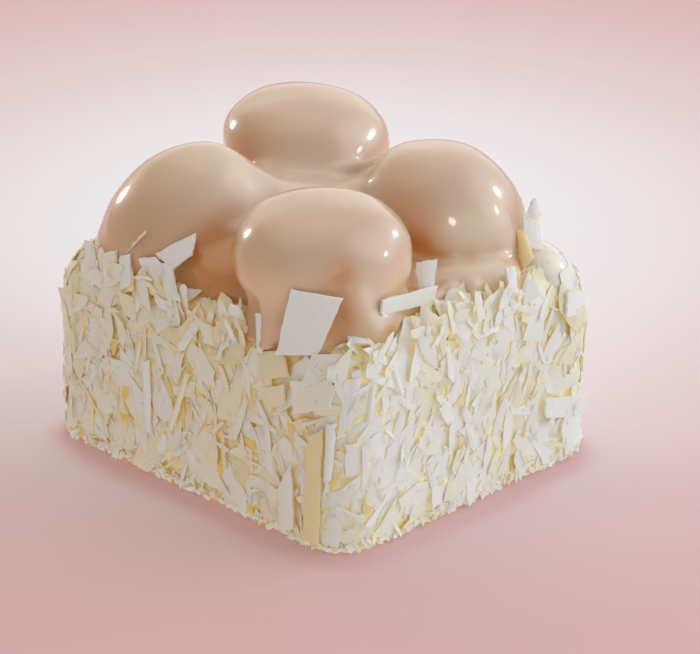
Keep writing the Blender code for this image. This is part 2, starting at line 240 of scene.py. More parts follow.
def roundedStep(side, top, rounding):
    # the rounded edge between a side wall and a level top
    side, top = side + rounding, top + rounding
    return np.hypot(np.maximum(side, 0), np.maximum(top, 0)) + np.minimum(np.maximum(side, top), 0) - rounding


def roundedPlan(points, half, corner):
    return roundedStep(np.abs(points[:, 0]) - half[0], np.abs(points[:, 1]) - half[1], corner)


def glazeParts(points):
    parts = [(bunDistance(points, bun), bun["blend"]) for bun in buns.values()]
    level, half, corner, rounding, blend = glaze["pool"]
    parts.append((roundedStep(roundedPlan(points, half, corner), points[:, 2] - level, rounding), blend))
    middle, radius, top, rounding, blend = glaze["saddle"]
    side = np.hypot(points[:, 0] - middle[0], points[:, 1] - middle[1]) - radius
    parts.append((roundedStep(side, points[:, 2] - top, rounding), blend))
    for centre, radii, turn, blend in glaze["mounds"].values():
        parts.append((moundDistance(points, centre, radii, turn), blend))
    for start, end, startRadius, endRadius, blend in glaze["runs"].values():
        parts.append((runDistance(points, start, end, startRadius, endRadius), blend))
    return parts


def waves(points, size, length, seed):
    # slow unevenness, as a sum of a few sloping sine waves
    dice = np.random.default_rng(seed)
    total = np.zeros(len(points))
    count = 7
    for _ in range(count):
        direction = dice.normal(size=3)
        direction /= np.linalg.norm(direction)
        stretch = length * dice.uniform(0.7, 1.6)
        total += np.sin(points @ direction * 2 * math.pi / stretch + dice.uniform(0, 6.28))
    return total * size / math.sqrt(count)


def glazeDistance(points):
    parts = glazeParts(points)
    distance, _ = parts[0]
    for other, blend in parts[1:]:
        distance = soften(distance, other, blend)
    distance = distance + falloff(points, glaze["dimples"])
    distance = np.maximum(distance, glaze["bottom"] - points[:, 2])
    run = moundDistance(points, shoulderRun["at"], shoulderRun["radii"])
    distance = soften(distance, run, shoulderRun["blend"])
    return distance + waves(points, *glaze["waves"])


def surfaceNet(distance, low, high, cell):
    # a closed mesh where the distance is zero: one point in each grid cell that the surface crosses
    axes = [np.arange(a, b + cell, cell) for a, b in zip(low, high)]
    grid = np.stack(np.meshgrid(*axes, indexing="ij"), -1)
    value = distance(grid.reshape(-1, 3)).reshape(grid.shape[:3])
    cells = np.array(value.shape) - 1
    sums = np.zeros((np.prod(cells), 3))
    hits = np.zeros(np.prod(cells))
    rings = []
    for axis in range(3):
        first = np.moveaxis(value, axis, 0)[:-1]
        second = np.moveaxis(value, axis, 0)[1:]
        found = np.argwhere((first < 0) != (second < 0))
        a, b = first[tuple(found.T)], second[tuple(found.T)]
        edges = found[:, 1:]
        edges = np.insert(edges, axis, found[:, 0], axis=1)
        crossing = grid[tuple(edges.T)]
        crossing[:, axis] += a / (a - b) * cell
        u, v = (axis + 1) % 3, (axis + 2) % 3
        ring = []
        for backU, backV in ((1, 1), (0, 1), (0, 0), (1, 0)):
            around = edges.copy()
            around[:, u] -= backU
            around[:, v] -= backV
            number = np.ravel_multi_index(tuple(around.T), tuple(cells))
            for k in range(3):
                sums[:, k] += np.bincount(number, crossing[:, k], len(sums))
            hits += np.bincount(number, minlength=len(hits))
            ring.append(number)
        ring = np.stack(ring, 1)
        rings.append(np.where((a < 0)[:, None], ring, ring[:, ::-1]))
    used = hits > 0
    order = np.cumsum(used) - 1
    return sums[used] / hits[used][:, None], order[np.concatenate(rings)]


def pullToSurface(points, distance):
    # moves points along the slope of a distance function towards its zero level
    reach, leastSteep, longest = 0.05, 0.2, 1.5
    value = distance(points)
    slope = np.stack([(distance(points + reach * axis) - value) / reach for axis in np.eye(3)], 1)
    steep = np.maximum(np.sum(slope**2, axis=1), leastSteep)
    return points - np.clip(value / steep, -longest, longest)[:, None] * slope


def relax(points, faces, share):
    # draws each point towards the middle of its neighbours
    total = np.zeros_like(points)
    count = np.zeros(len(points))
    for a, b in ((0, 1), (1, 2), (2, 3), (3, 0)):
        for k in range(3):
            total[:, k] += np.bincount(faces[:, a], points[faces[:, b], k], len(points))
        count += np.bincount(faces[:, a], minlength=len(points))
    return points + share * (total / count[:, None] - points)


# where the glaze shows warm, partly its own tone where thin and partly painted shade in creases and hollows;
# where it lies thick and milky, partly with painted light on shaded undersides; or where it is dull: centre,
# reach, strength
tintSpots = {
    "amberFoldShade": (
        ((-3.5, -25.0, 49.0), 5.5, 0.90), ((-1.0, -27.6, 46.2), 6.0, 1.00),
        ((4.0, -29.4, 44.0), 5.0, 0.75), ((14.6, -34.3, 43.2), 3.6, 0.40),
        ((-22.4, 0.7, 55.8), 4.5, 0.45), ((18.8, 2.9, 56.4), 7.0, 0.20),
        ((23.5, 2.5, 50.5), 6.5, 0.32), ((24.4, 2.8, 47.2), 4.0, 0.50),
        ((28.2, 5.6, 46.8), 2.4, 0.42), ((31.5, 9.4, 46.5), 2.4, 0.42),
        ((33.6, 14.6, 46.2), 2.4, 0.36), ((32.9, 22.9, 46.4), 1.9, 0.80),
        ((34.2, 21.4, 44.4), 2.0, 0.85), ((35.6, 20.9, 42.6), 1.9, 0.75),
        ((34.0, -27.9, 55.2), 2.8, 0.64), ((33.4, -30.8, 51.9), 3.6, 0.35),
        ((34.6, -30.5, 44.8), 4.4, 0.85), ((34.6, -29.8, 48.2), 3.0, 0.40),
        ((38.7, -19.9, 41.0), 2.6, 0.90), ((12.0, -33.0, 54.0), 6.0, 0.16),
        ((-27.7, -32.6, 48.4), 8.0, 0.30), ((-14.3, -32.8, 48.5), 6.0, 0.20),
    ),
    "milkyAndPaintedLight": (
        ((-5.2, -0.7, 54.3), 11.0, 0.45), ((2.6, 5.4, 55.2), 7.0, 0.30),
        ((-8.5, -18.5, 57.0), 7.5, 0.45), ((30.5, 9.6, 43.4), 8.0, 0.60),
        # these two are painted light that lifts the shaded underside of the right bun
        ((32.6, 12.8, 49.4), 7.0, 1.00), ((29.5, 7.5, 49.6), 4.5, 0.70),
        ((38.2, 7.5, 42.0), 5.5, 0.30), ((37.0, -23.7, 48.0), 8.0, 0.45),
        ((-14.0, -18.0, 62.0), 9.0, 0.20), ((29.0, -33.0, 52.5), 9.0, 0.30),
        ((20.5, -36.0, 50.0), 6.0, 0.22), ((28.6, 6.5, 52.0), 4.5, 0.25),
    ),
    # where the skin is too soft to give a sharp highlight
    "dull": (
        ((33.2, -28.9, 56.0), 2.4, 1.6), ((35.1, -27.6, 52.7), 1.8, 1.6),
        ((36.1, -27.3, 51.2), 1.8, 1.6),
    ),
}


# painted shade in the folds: darker tints, with strength, how shut in and how low a point is where they begin
# and are full
folds = {
    "near": 2.5,
    "wide": 8.0,
    "tan": {"strength": 0.45, "wide": (0.15, 0.80), "height": (54.0, 47.0)},
    "amberFoldShade": {"strength": 0.35, "wide": (0.50, 0.90), "near": (0.15, 0.6), "height": (53.0, 47.0)},
    # from the run over the shoulder, and how far a face looks up, for painted light on faces that look down
    "creamy": (1.8, 0.1),
    "underside": (0.55, -0.25),
}


def makeGlaze():
    for name, bun in buns.items():
        bun["box"] = nodeBox(name)
    points, faces = surfaceNet(glazeDistance, glaze["low"], glaze["high"], glaze["cell"])
    rounds, share = glaze["relax"]
    for _ in range(rounds):
        points = pullToSurface(relax(points, faces, share), glazeDistance)
    coat = meshObject("glazeCoat", points, faces)
    normals = normalsOf(coat)
    # how shut in each point is, felt over a near and a wide distance
    near, wide = (
        1 - glazeDistance(points + folds[reach] * normals) / folds[reach] for reach in ("near", "wide")
    )
    tan, amberFoldShade = folds["tan"], folds["amberFoldShade"]
    # the tan mask is painted shade, darker where a point is shut in and low
    tanFoldShadeShare = tan["strength"] * ramp(wide, *tan["wide"]) * ramp(points[:, 2], *tan["height"])
    # the warm orange mask is painted shade in the tight and wide folds, with the listed spots added, partly
    # the warm tone of thin glaze
    amberFoldShadeShare = amberFoldShade["strength"] * (ramp(wide, *amberFoldShade["wide"]) + ramp(near, *amberFoldShade["near"]))
    amberFoldShadeShare = amberFoldShadeShare * ramp(points[:, 2], *amberFoldShade["height"]) + falloff(points, tintSpots["amberFoldShade"])
    run = moundDistance(points, shoulderRun["at"], shoulderRun["radii"])
    masks = {
        "creamy": ramp(run, *folds["creamy"]),
        "milkyAndPaintedLight": falloff(points, tintSpots["milkyAndPaintedLight"]),
        "dull": falloff(points, tintSpots["dull"]),
        "underside": ramp(normals[:, 2], *folds["underside"]),
        "tan": tanFoldShadeShare,
        "amberFoldShade": amberFoldShadeShare,
    }
    for name, values in masks.items():
        addMask(coat, name, np.clip(values, 0, 1))
    return coat


glazeCoat = makeGlaze()
print("glaze ready", len(glazeCoat.data.vertices), "points")


# the cake under the shavings

cake = {
    "half": (41.0, 35.0),
    "height": 41.0,
    "corner": 8.0,
    "shoulder": 8.0,
    # how deep the cream lies under the coat, and under the run over the shoulder
    "cream": 0.75,
    "underRun": 0.8,
    "bottom": 0.3,
    "waves": (0.35, 5.0, 9),
    "cell": 0.9,
    "low": (-43.0, -37.0, -1.5),
    "high": (44.0, 37.5, 46.0),
    # places where the coat lies lower: centre, reach, depth
    "dents": (((-39.5, -29.0, 41.0), 8.0, 2.0),),
}


def coatDistance(points):
    side = roundedPlan(points, cake["half"], cake["corner"])
    distance = roundedStep(side, points[:, 2] - cake["height"], cake["shoulder"])
    return distance + falloff(points, cake["dents"])


def outwardFrom(points):
    # the coat's outward direction at each point
    reach = 0.05
    value = coatDistance(points)
    slope = np.stack([coatDistance(points + reach * axis) - value for axis in np.eye(3)], 1)
    return slope / np.maximum(np.linalg.norm(slope, axis=1), 1e-9)[:, None]


def crumbDistance(points):
    block = coatDistance(points) - cake["cream"] + waves(points, *cake["waves"])
    radii = np.array(shoulderRun["radii"]) - cake["underRun"]
    run = moundDistance(points, shoulderRun["at"], radii)
    return np.maximum(soften(block, run, shoulderRun["blend"]), cake["bottom"] - points[:, 2])


cakePoints, cakeFaces = surfaceNet(crumbDistance, cake["low"], cake["high"], cake["cell"])
cakeBody = meshObject("cakeBody", pullToSurface(cakePoints, crumbDistance), cakeFaces)
print("cake ready", len(cakePoints), "points")


# the shavings: thin curved plates with ragged ends, many at a time

def coatPlaces(share, height):
    # points of the cake's surface and their outward normals, from the share of the way round and the
    # height measured up the side and on over the shoulder
    halfX, halfY = cake["half"]
    corner, shoulder = cake["corner"], cake["shoulder"]
    runX, runY = halfX - corner, halfY - corner
    quarter = math.pi * corner / 2
    legs = np.array([2 * runY, quarter, 2 * runX, quarter] * 2)
    ends = np.cumsum(legs)
    way = (share % 1.0) * ends[-1]
    leg = np.minimum(np.searchsorted(ends, way), 7)
    into = way - (ends[leg] - legs[leg])
    turn = leg // 2
    curved = leg % 2 == 1
    angle = turn * math.pi / 2 + np.where(curved, into / corner, 0)
    outward = np.stack([np.cos(angle), np.sin(angle), np.zeros_like(angle)], 1)
    along = np.stack([-np.sin(angle), np.cos(angle), np.zeros_like(angle)], 1)
    corners = np.array([(1, 1), (-1, 1), (-1, -1), (1, -1)]) * [runX, runY]
    start = np.column_stack([corners[turn], np.zeros(len(turn))])
    back = np.where(curved, 0, legs[leg] - into)
    foot = start + corner * outward - back[:, None] * along
    sideHeight = cake["height"] - shoulder
    arc = shoulder * math.pi / 2
    tip = np.clip((height - sideHeight) / shoulder, 0, math.pi / 2)
    inward = np.maximum(height - sideHeight - arc, 0)
    normal = outward * np.cos(tip)[:, None] + np.array([0, 0, 1]) * np.sin(tip)[:, None]
    centre = foot - shoulder * outward
    centre[:, 2] = sideHeight
    places = centre + shoulder * normal - inward[:, None] * outward
    places[:, 2] = np.where(height <= sideHeight, height, places[:, 2])
    return places, normal, along


def girth():
    halfX, halfY = cake["half"]
    return 4 * (halfX + halfY) - 8 * cake["corner"] + 2 * math.pi * cake["corner"]


def spread(count, heights, dice):
    # an even, shaken grid of places on the coat
    low, high = heights
    rows = max(1, round(math.sqrt(count * (high - low) / girth())))
    columns = math.ceil(count / rows)
    row, column = np.divmod(np.arange(rows * columns), columns)
    share = (column + 0.5 * (row % 2) + dice.uniform(-0.5, 0.5, len(row))) / columns
    height = low + (high - low) * (row + 0.5 + dice.uniform(-0.5, 0.5, len(row))) / rows
    return share % 1.0, height


# what all kinds of plates share: how narrow the far end is, how slanting the ends are, how the middle line
# sways, how much is cut off the corners, how ragged the edges are, the length of the ripples, how much
# thinner the edges and ends are, how well plates follow the coat, where the shaded left side begins and is
# full, and the power that makes yellow plates rare, less so on the shaded left as painted shade
plateShape = {
    "narrow": (0.35, 1.0), "slant": 0.22, "sway": 0.05, "cut": (0.0, 0.5), "edge": 0.06, "ripples": 1.3,
    "thinEdges": 0.45, "thinEnds": 0.35, "follow": 0.45, "shadedLeftSide": (14.0, -6.0), "tintPower": (1.5, -0.6),
}


def plates(count, kind, dice):
    # the points of every plate of one kind round its own middle, and where they lie in the grain
    shape = plateShape
    each = (count, 1, 1)
    rows, columns = kind["cells"]
    u = np.linspace(-0.5, 0.5, rows + 1)[None, :, None]
    v = np.linspace(-0.5, 0.5, columns + 1)[None, None, :]
    length = dice.uniform(*kind["length"], each)
    width = dice.uniform(*kind["width"], each)
    narrow = dice.uniform(*shape["narrow"], each)
    slant = dice.normal(0, shape["slant"], each) * width / length
    ends = np.abs(2 * u) ** 3
    x = length * (u + slant * v * 2 * np.sign(u + 1e-9) * ends)
    x = x + dice.normal(0, kind["ragged"], (count, rows + 1, columns + 1)) * ends
    sway = np.cumsum(dice.normal(0, shape["sway"], (count, rows + 1, 1)), axis=1)
    taper = 1 - (1 - narrow) * (u + 0.5)
    cut = 1 - dice.uniform(*shape["cut"], each) * np.abs(2 * u) ** 4
    edge = 1 + dice.normal(0, shape["edge"], (count, rows + 1, columns + 1)) * np.abs(2 * v)
    y = width * (v * taper * cut * edge + sway)
    bend, cup, twist = (dice.normal(0, size, each) for size in kind["curve"][:3])
    ripple = dice.uniform(0, kind["curve"][3], each)
    phase = dice.uniform(0, 6.28, each)
    z = bend * x**2 + cup * y**2 + twist * x * y + ripple * np.sin(x * shape["ripples"] + phase)
    thick = dice.uniform(*kind["thickness"], each) / 2
    thin = thick * (1 - shape["thinEdges"] * np.abs(2 * v) ** 2) * (1 - shape["thinEnds"] * ends)
    # plates lie far apart in the grain, so that none looks like another
    grain = np.stack([x, y, np.broadcast_to(phase * 40, x.shape)], -1)
    both = np.stack([np.stack([x, y, z + side * thin], -1) for side in (1, -1)], 1)
    return both.reshape(count, -1, 3), np.stack([grain, grain], 1).reshape(count, -1, 3)


def plateFaces(cells):
    # the faces of one closed plate: top, underside and the rim between them
    rows, columns = cells
    wide = columns + 1
    layer = (rows + 1) * wide
    faces = []
    for r in range(rows):
        for c in range(columns):
            a = r * wide + c
            faces.append((a, a + wide, a + wide + 1, a + 1))
            faces.append((a + layer, a + 1 + layer, a + wide + 1 + layer, a + wide + layer))
    rim = list(range(columns))
    rim += [r * wide + columns for r in range(rows)]
    rim += [rows * wide + c for c in range(columns, 0, -1)]
    rim += [r * wide for r in range(rows, 0, -1)]
    for a, b in zip(rim, rim[1:] + rim[:1]):
        faces.append((a, b, b + layer, a + layer))
    return np.array(faces)


def layPlates(kind, dice):
    share, height = spread(kind["count"], kind["heights"], dice)
    count = len(share)
    upright = kind.get("upright", False)
    wallTop = cake["height"] - cake["shoulder"]
    place, normal, round_ = coatPlaces(share, np.minimum(height, wallTop) if upright else height)
    if upright:
        place[:, 2] = height
    rise = np.cross(normal, round_)
    turn = np.radians(dice.normal(90, kind["turnSpread"], count))
    along = round_ * np.cos(turn)[:, None] + rise * np.sin(turn)[:, None]
    across = np.cross(normal, along)
    lean = np.radians(dice.uniform(*kind["lean"], count)) * dice.choice(kind.get("leanWays", (-1, 1)), count)
    roll = np.radians(dice.normal(0, kind["roll"], count))
    cosLean, sinLean, cosRoll, sinRoll = (
        function(angle)[:, None] for angle in (lean, roll) for function in (np.cos, np.sin)
    )
    tipped = along * cosLean + normal * sinLean
    raised = normal * cosLean - along * sinLean
    sideways = across * cosRoll + raised * sinRoll
    facing = raised * cosRoll - across * sinRoll
    lifted = place + normal * dice.uniform(*kind["standOff"], count)[:, None]
    return lifted, np.stack([tipped, sideways, facing], 1), None if upright else (place, normal)


def followCoat(points, follow):
    # bends plates over the rounded edges: each point keeps most of its height above the coat
    place, normal = follow
    height = np.sum((points - place[:, None, :]) * normal[:, None, :], axis=2).ravel()
    flat = points.reshape(-1, 3)
    for _ in range(2):
        excess = coatDistance(flat) - height
        flat = flat - plateShape["follow"] * excess[:, None] * outwardFrom(flat)
    return flat.reshape(points.shape)


def layOnRun(kind, dice):
    # the same for the glaze run over the shoulder, between two compass ways and two rises in degrees
    ways, rises = kind["onRun"]
    way = np.radians(dice.uniform(*ways, kind["count"]))
    rise = np.radians(dice.uniform(*rises, kind["count"]))
    sphere = np.stack([np.cos(way) * np.cos(rise), np.sin(way) * np.cos(rise), np.sin(rise)], 1)
    radii = np.array(shoulderRun["radii"])
    place = np.array(shoulderRun["at"]) + radii * sphere
    facing = unit(sphere / radii)
    tipped = unit(np.cross(facing, dice.normal(size=(kind["count"], 3))))
    return place, np.stack([tipped, np.cross(facing, tipped), facing], 1), None


def shavingPiece(name, kind):
    dice = np.random.default_rng(kind["seed"])
    place, axes, follow = (layOnRun if "onRun" in kind else layPlates)(kind, dice)
    local, grain = plates(len(place), kind, dice)
    points = place[:, None, :] + local @ axes
    if follow:
        points = followCoat(points, follow)
    points = keepInCoat(points)
    deep = glazeDistance(points.reshape(-1, 3)).reshape(len(place), -1).min(axis=1)
    kept = deep > -kind["sink"]
    if kind.get("upright") or kind.get("leanWays") == (1,):
        for centre, radius in clearings:
            kept &= np.linalg.norm(place - np.array(centre), axis=1) > radius
    # plates on the shaded left get yellower tints: painted shade
    shadedLeftSide = ramp(place[kept] @ np.array(viewRight), *plateShape["shadedLeftSide"])
    power, lessLeft = plateShape["tintPower"]
    tints = dice.uniform(0, 1, np.sum(kept)) ** (power + lessLeft * shadedLeftSide)
    return joinPlates(name, points[kept], grain[kept], kind["cells"], tints)


def joinPlates(name, points, grain, cells, tints):
    points = np.array(points)
    count, size = points.shape[:2]
    joined = plateFaces(cells)[None] + (np.arange(count) * size)[:, None, None]
    made = meshObject(name, points.reshape(-1, 3), joined.reshape(-1, 4))
    made.data.set_sharp_from_angle(angle=math.radians(50))
    addMask(made, "grain", grain, "FLOAT_VECTOR", "vector")
    addMask(made, "tint", np.repeat(tints, size))
    print(name, count, "plates", len(made.data.vertices), "points")
    return made


# places along the rim where no shaving stands up: centre, radius
clearings = (
    ((27.0, -34.0, 42.0), 12.0), ((-39.0, -33.0, 42.0), 7.5), ((37.0, 28.0, 42.0), 12.0),
    ((-40.0, -20.0, 42.0), 11.0), ((4.0, -31.0, 42.0), 6.0), ((31.0, 37.0, 42.0), 8.0),
    ((39.5, -30.5, 40.0), 3.2), ((41.2, -20.0, 41.0), 3.2), ((-42.0, -28.0, 42.0), 7.0),
    ((41.0, 12.3, 41.0), 2.6), ((-34.5, -35.0, 41.5), 4.5),
)

coatLimit = {"half": (43.3, 37.3), "floor": 0.25}


def keepInCoat(points):
    # moves whole plates inwards where they would pass the coat's outer limits, or upwards off the floor
    limit = np.array(coatLimit["half"])
    over = np.maximum(points[:, :, :2].max(axis=1) - limit, 0)
    under = np.minimum(points[:, :, :2].min(axis=1) + limit, 0)
    points[:, :, :2] -= (over + under)[:, None, :]
    lift = np.maximum(coatLimit["floor"] - points[:, :, 2].min(axis=1), 0)
    points[:, :, 2] += lift[:, None]
    return points


# curve: how strongly plates bend along, cup across, twist, and ripple
shavingKinds = {
    "layeredShavings": {
        "count": 520, "seed": 21, "cells": (7, 4), "heights": (1.6, 46.5),
        "length": (10.0, 17.0), "width": (5.0, 9.5), "thickness": (0.34, 0.50), "ragged": 0.22,
        "curve": (0.004, 0.006, 0.003, 0.10),
        "turnSpread": 40, "lean": (0, 3), "roll": 3, "standOff": (0.2, 1.2), "sink": 0.8,
    },
    "broadShavings": {
        "count": 230, "seed": 22, "cells": (8, 5), "heights": (3.0, 44.0),
        "length": (9.0, 16.0), "width": (4.0, 8.6), "thickness": (0.34, 0.50), "ragged": 0.28,
        "curve": (0.005, 0.008, 0.004, 0.12),
        "turnSpread": 40, "lean": (0, 5), "roll": 4, "standOff": (1.0, 1.5), "sink": 0.5,
    },
    "curledShavings": {
        "count": 330, "seed": 23, "cells": (6, 3), "heights": (1.5, 47.0),
        "length": (4.5, 11.0), "width": (1.0, 3.4), "thickness": (0.26, 0.42), "ragged": 0.18,
        "curve": (0.010, 0.025, 0.008, 0.10),
        "turnSpread": 38, "lean": (0, 8), "roll": 8, "standOff": (1.2, 1.8), "sink": 0.5,
    },
    "rimShavings": {
        "count": 330, "seed": 26, "cells": (6, 3), "heights": (38.5, 46.8),
        "length": (4.0, 10.0), "width": (1.0, 4.6), "thickness": (0.28, 0.44), "ragged": 0.18,
        "curve": (0.012, 0.020, 0.010, 0.10),
        "turnSpread": 50, "lean": (4, 36), "leanWays": (1,), "roll": 14, "standOff": (0.8, 2.0), "sink": 1.1,
    },
    "uprightShavings": {
        "count": 360, "seed": 27, "cells": (6, 3), "heights": (36.8, 42.4), "upright": True,
        "length": (3.8, 8.8), "width": (1.0, 4.4), "thickness": (0.28, 0.44), "ragged": 0.18,
        "curve": (0.010, 0.020, 0.010, 0.10),
        "turnSpread": 46, "lean": (0, 18), "leanWays": (-1, -1, 1), "roll": 14, "standOff": (0.2, 1.7),
        "sink": 1.0,
    },
    "footCrumbs": {
        "count": 460, "seed": 28, "cells": (3, 2), "heights": (0.3, 2.4),
        "length": (0.8, 2.8), "width": (0.7, 2.0), "thickness": (0.3, 0.7), "ragged": 0.1,
        "curve": (0.03, 0.05, 0.03, 0.05),
        "turnSpread": 90, "lean": (0, 30), "roll": 25, "standOff": (0.4, 1.8), "sink": 0.3,
    },
    "shreds": {
        "count": 760, "seed": 24, "cells": (4, 2), "heights": (0.8, 48.0),
        "length": (1.8, 5.6), "width": (0.4, 1.4), "thickness": (0.22, 0.36), "ragged": 0.15,
        "curve": (0.03, 0.04, 0.03, 0.05),
        "turnSpread": 48, "lean": (0, 8), "roll": 12, "standOff": (1.1, 1.8), "sink": 0.4,
    },
    "crumbs": {
        "count": 520, "seed": 25, "cells": (2, 2), "heights": (0.4, 48.0),
        "length": (0.6, 1.6), "width": (0.5, 1.1), "thickness": (0.25, 0.5), "ragged": 0.15,
        "curve": (0.05, 0.05, 0.05, 0.02),
        "turnSpread": 90, "lean": (0, 30), "roll": 30, "standOff": (1.2, 1.9), "sink": 0.3,
    },
    "runCrumbs": {
        "count": 26, "seed": 29, "cells": (2, 2), "onRun": ((-40, 130), (10, 75)),
        "length": (0.5, 1.1), "width": (0.4, 0.8), "thickness": (0.2, 0.3), "ragged": 0.04,
        "curve": (0.05, 0.05, 0.05, 0.02), "sink": 0.4,
    },
}

shavingPieces = [shavingPiece(name, kind) for name, kind in shavingKinds.items()]


# the shavings that stand out, each placed by its four corners in millimetres
standing = {
    "leaningPlate": ((27.9, -35.8, 52.4), (36.4, -30.3, 51.6), (33.3, -34.1, 40.3), (25.1, -37.3, 38.8)),
    "longChip": ((37.6, -21.3, 48.8), (36.2, -4.8, 46.2), (36.6, -6.3, 43.3), (37.4, -21.6, 45.7)),
    "uprightChip": ((32.4, -6.6, 50.4), (35.0, -3.6, 50.9), (36.7, -6.7, 43.4), (34.9, -8.4, 43.8)),
    "slantChip": ((37.3, -4.8, 42.8), (38.3, -1.9, 42.8), (43.3, 5.5, 35.7), (43.1, -0.5, 35.5)),
    "spikeTip": ((32.7, 25.9, 54.0), (32.7, 26.9, 53.7), (34.0, 27.6, 50.1), (33.2, 23.7, 50.6)),
    "spike": ((32.7, 23.2, 51.8), (33.3, 26.8, 50.7), (35.5, 26.0, 44.0), (34.2, 21.5, 45.4)),
    "brightChip": ((34.5, -28.0, 43.4), (36.0, -22.9, 43.2), (39.3, -26.3, 41.5), (37.2, -29.5, 42.0)),
    "upperPlate": ((32.2, -34.3, 40.3), (38.4, -31.7, 41.1), (38.5, -34.0, 37.1), (31.9, -37.4, 34.2)),
    "lowerPlate": ((29.2, -37.2, 34.3), (38.7, -34.1, 37.2), (38.3, -35.9, 31.5), (30.1, -37.4, 28.1)),
    "whiteStrip": ((39.5, -33.7, 36.9), (41.2, -31.4, 37.1), (41.4, -32.6, 29.3), (39.2, -34.9, 24.7)),
    "edgeChip": ((42.3, 26.2, 37.3), (40.2, 33.4, 33.9), (40.4, 33.3, 29.0), (43.2, 24.8, 32.4)),
    "sideChip": ((43.2, 19.1, 16.5), (41.4, 34.1, 11.6), (40.7, 33.5, 7.2), (43.2, 19.3, 12.0)),
    "leftChip": ((-11.7, -33.8, 46.9), (-6.0, -28.2, 51.3), (-4.6, -30.6, 48.0), (-6.9, -33.6, 45.0)),
    "leftChipTwo": ((-11.5, -34.4, 45.6), (-7.3, -33.8, 46.0), (-2.6, -36.0, 40.6), (-5.6, -36.4, 39.8)),
    "dripStrip": ((18.6, -35.6, 44.6), (20.4, -36.5, 45.4), (20.9, -36.9, 37.7), (19.8, -36.5, 37.6)),
    "leftPlate": ((-14.8, -35.3, 45.6), (-10.6, -34.6, 47.0), (-3.5, -34.8, 40.0), (-11.3, -35.9, 39.1)),
    "creviceChip": ((8.0, -34.9, 39.6), (12.2, -34.1, 41.5), (11.5, -36.7, 36.0), (9.4, -37.4, 33.0)),
    "hangingPlate": ((34.1, -37.4, 24.7), (37.0, -36.5, 26.6), (35.8, -36.7, 1.8), (32.2, -37.3, 2.3)),
    "hangingStrip": ((25.8, -37.3, 10.4), (29.2, -37.3, 17.3), (29.7, -37.2, 3.1), (26.1, -37.2, 1.8)),
    "beigeChip": ((19.2, -36.4, 37.0), (25.4, -35.3, 39.0), (28.2, -37.0, 35.1), (21.3, -37.2, 32.0)),
    "beigeChipTwo": ((21.2, -37.2, 30.3), (27.2, -37.2, 33.2), (27.8, -37.2, 29.1), (22.3, -37.2, 26.4)),
    "sideStrip": ((-12.4, -37.1, 24.7), (-10.6, -37.2, 25.7), (-10.5, -37.2, 10.5), (-12.0, -37.2, 9.5)),
    "sideStripTwo": ((0.0, -37.2, 26.6), (1.1, -37.2, 26.6), (-4.1, -37.1, 12.7), (-5.3, -37.2, 12.7)),
    "slantStrip": ((1.7, -35.6, 38.6), (3.8, -35.7, 38.3), (-0.5, -37.2, 31.0), (-2.5, -37.2, 31.4)),
    "rightStrip": ((41.3, -27.7, 38.6), (41.4, -26.5, 38.7), (42.6, -29.2, 28.1), (42.2, -30.2, 28.1)),
    "rightStripTwo": ((40.6, -23.6, 39.7), (40.7, -22.0, 39.7), (43.2, -21.5, 31.5), (43.2, -22.8, 31.2)),
    "cornerWhite": ((39.9, -31.7, 38.0), (40.7, -29.8, 38.5), (41.5, -31.6, 32.3), (40.1, -33.4, 29.5)),
    "leftStrand": ((-15.0, -34.0, 50.4), (-14.5, -33.7, 50.9), (-20.0, -35.8, 44.2), (-20.5, -36.0, 43.6)),
    "goldFlake": ((32.4, 21.6, 48.7), (33.0, 23.4, 48.4), (36.9, 21.9, 43.7), (36.3, 19.2, 41.7)),
    "rimChip": ((-25.0, -35.8, 43.7), (-20.6, -36.3, 45.7), (-19.3, -37.0, 39.3), (-22.7, -37.2, 37.8)),
    "rimChipTwo": ((-19.2, -36.5, 45.0), (-16.8, -35.9, 46.2), (-15.4, -37.1, 40.3), (-18.3, -37.2, 38.6)),
    "rimChipThree": ((-21.7, -37.0, 43.2), (-17.0, -36.8, 43.7), (-18.8, -36.9, 39.8), (-22.2, -36.9, 40.1)),
    "sidePlate": ((-19.0, -37.2, 38.0), (-15.4, -35.6, 37.1), (-14.5, -36.9, 33.0), (-17.7, -37.2, 33.4)),
    "sidePlateTwo": ((3.6, -36.9, 38.6), (7.6, -35.2, 37.7), (8.3, -36.4, 34.5), (5.4, -37.2, 34.8)),
    "ledgeChip": ((39.4, 11.0, 45.6), (39.4, 13.4, 45.4), (42.4, 12.2, 38.4), (42.6, 9.2, 38.6)),
    "cornerStrip": ((37.6, -36.2, 27.8), (39.4, -35.2, 28.5), (38.4, -35.7, 16.3), (37.2, -36.4, 16.1)),
}

standingShape = {
    "cells": (8, 6), "thickness": 0.50, "ragged": 0.07, "bulge": 0.35, "bulges": (0.4, 1.2), "seed": 31,
    "clear": 1.4, "tint": 0.1, "apart": 17.0,
}

# how yellow a standing shaving is where it isn't white; above 1 it turns golden
standingTints = {
    "hangingPlate": 1.05, "lowerPlate": 0.5, "hangingStrip": 0.3, "spike": 0.35, "spikeTip": 0.35,
    "beigeChip": 0.97, "beigeChipTwo": 0.94, "sideStripTwo": 0.85, "leftStrand": 0.8, "goldFlake": 1.10,
    "rimChip": 0.45, "rimChipThree": 0.7, "sidePlate": 0.92, "sidePlateTwo": 0.85,
}


def bothSides(sheet, normal, thickness, u, v, length, width, apart):
    # the two faces of a thin sheet, and where its points lie in the grain
    half = thickness / 2 * normal
    flat = np.stack(np.broadcast_arrays(u[..., 0] * length, v[..., 0] * width, apart), -1)
    return np.stack([sheet + half, sheet - half]).reshape(-1, 3), np.stack([flat, flat]).reshape(-1, 3)


